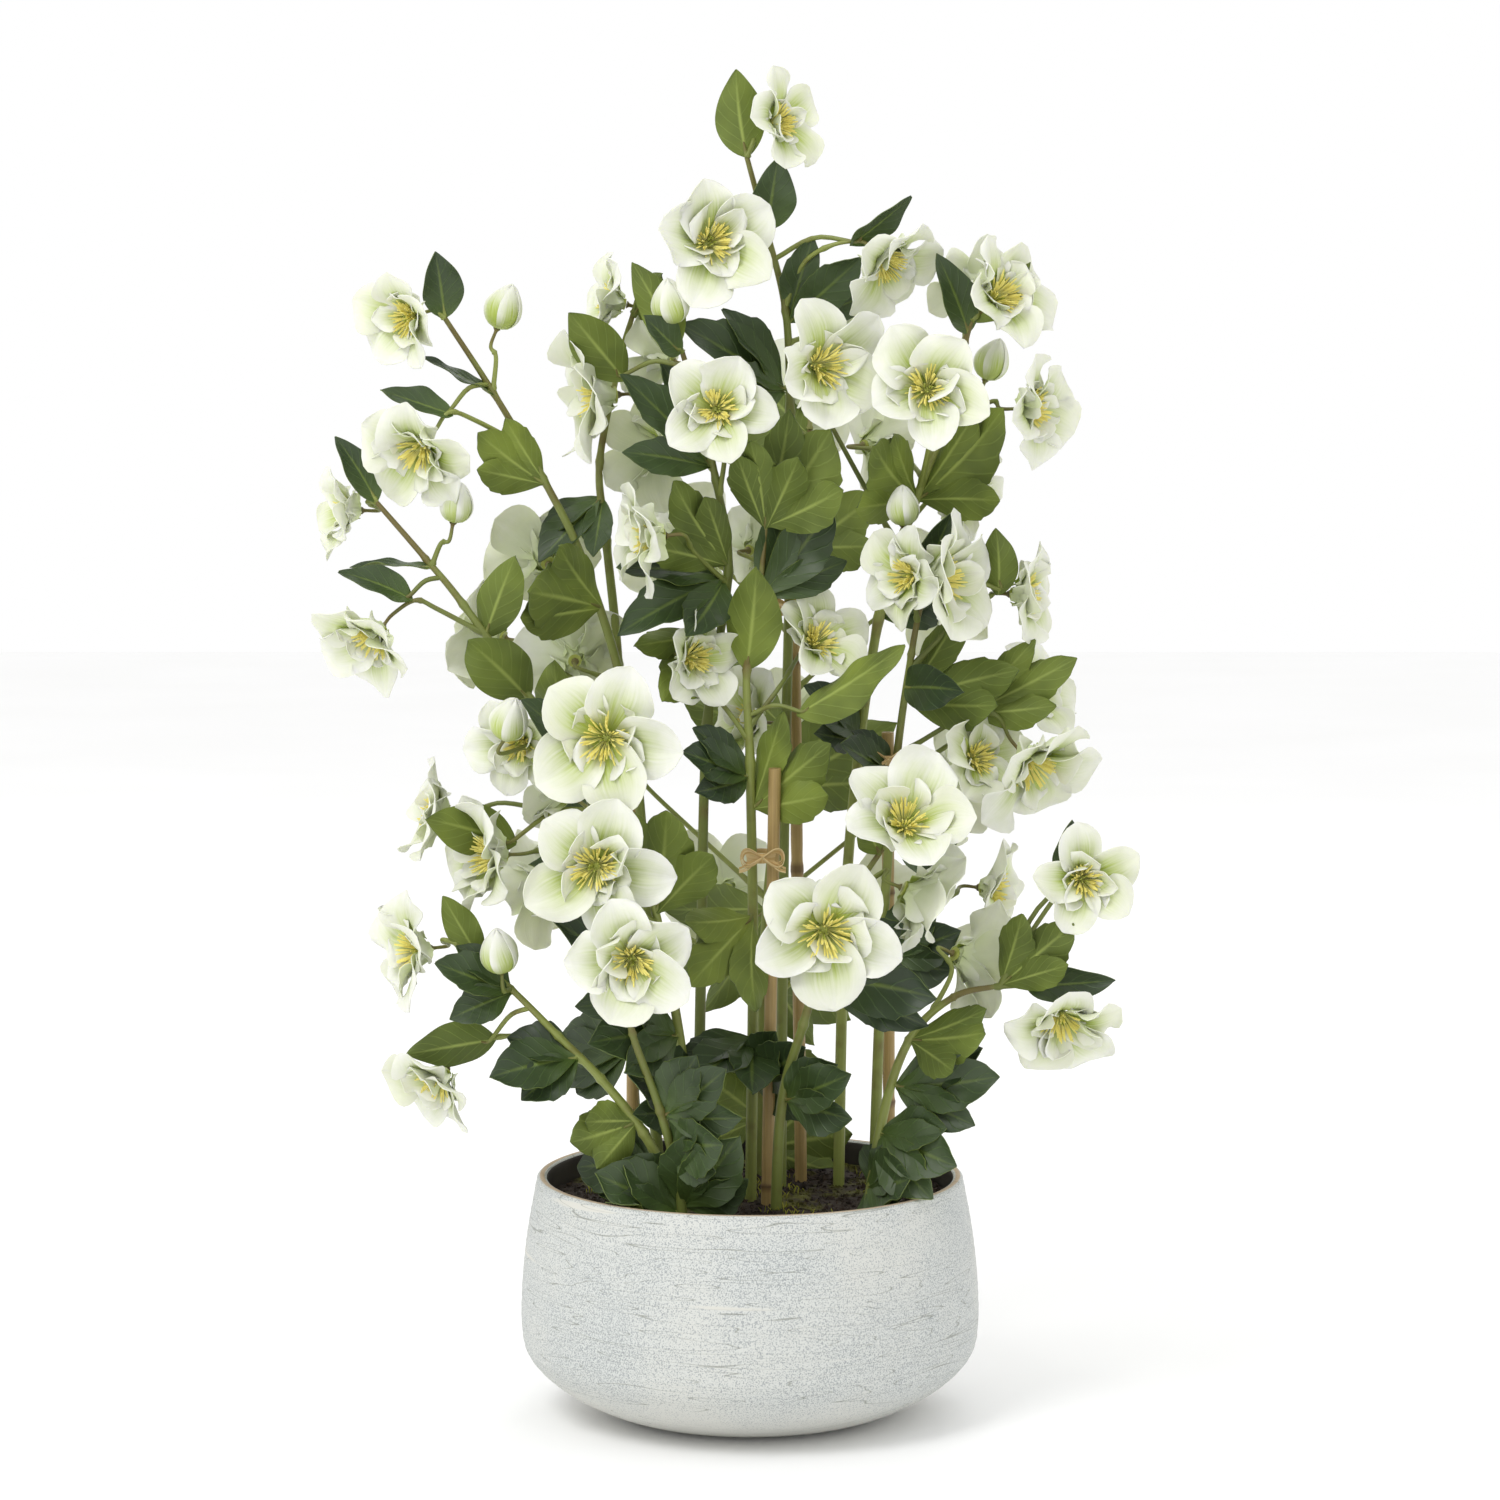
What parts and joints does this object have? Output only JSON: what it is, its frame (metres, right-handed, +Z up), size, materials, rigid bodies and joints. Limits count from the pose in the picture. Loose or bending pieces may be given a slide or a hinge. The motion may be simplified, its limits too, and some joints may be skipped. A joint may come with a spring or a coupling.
{
  "type": "potted hellebore",
  "caption": "Tall white double-flowered hellebore, staked with bamboo and tied with raffia, in a wide low speckled stoneware bowl; it stands on the floor or a table.",
  "frame": {"origin": "centre of the pot's flat foot, on the surface that it stands on", "axes": "+Z up, -Y towards the front, +X to the right seen from the front"},
  "size_m": [0.5317, 0.3634, 0.8727],
  "materials": {
    "stoneware": "matt off-white glaze with fine blue-grey speckle and crackle lines",
    "compost": "rough dark compost with flecks of moss",
    "bamboo": "dry tan cane with ring nodes",
    "raffia": "dry split fibre",
    "foliage": "dark green above, lime below, satin, with raised veins",
    "petal": "soft white petals flushed green at the heart, matt"
  },
  "bodies": {
    "root": {"top_spray": "foliage", "top_spray_flower_1": "petal", "top_spray_flower_2": "petal", "top_spray_flower_3": "petal", "upper_left_spray": "foliage", "upper_left_spray_flower_1": "petal", "upper_left_spray_flower_2": "petal", "upper_left_spray_flower_3": "petal", "mid_left_spray": "foliage", "mid_left_spray_flower_1": "petal", "mid_left_spray_flower_2": "petal", "left_spray": "foliage", "left_spray_flower_1": "petal", "left_spray_flower_2": "petal", "left_low_spray": "foliage", "left_low_spray_flower_1": "petal", "left_low_spray_flower_2": "petal", "left_low_spray_flower_3": "petal", "left_low_spray_flower_4": "petal", "centre_spray": "foliage", "centre_spray_flower_1": "petal", "centre_spray_flower_2": "petal", "right_upper_spray": "foliage", "right_upper_spray_flower_1": "petal", "right_upper_spray_flower_2": "petal", "right_upper_spray_flower_3": "petal", "right_upper_spray_flower_4": "petal", "right_mid_spray": "foliage", "right_mid_spray_flower_1": "petal", "right_mid_spray_flower_2": "petal", "right_mid_spray_flower_3": "petal", "right_mid_spray_flower_4": "petal", "front_right_spray": "foliage", "front_right_spray_flower_1": "petal", "front_right_spray_flower_2": "petal", "front_right_spray_flower_3": "petal", "right_low_spray": "foliage", "right_low_spray_flower_1": "petal", "right_low_spray_flower_2": "petal", "right_low_spray_flower_3": "petal", "left_front_spray": "foliage", "left_front_spray_flower_1": "petal", "left_front_spray_flower_2": "petal", "front_low_spray": "foliage", "front_low_spray_flower_1": "petal", "lower_left_spray": "foliage", "lower_left_spray_flower_1": "petal", "lower_left_spray_flower_2": "petal", "back_spray": "foliage", "back_spray_flower_1": "petal", "back_spray_flower_2": "petal", "front_tie": "raffia", "rear_tie": "raffia", "right_tie": "raffia", "front_cane": "bamboo", "rear_cane": "bamboo", "right_cane": "bamboo", "left_cane": "bamboo", "soil": "compost", "pot": "stoneware"}
  },
  "joints": []
}
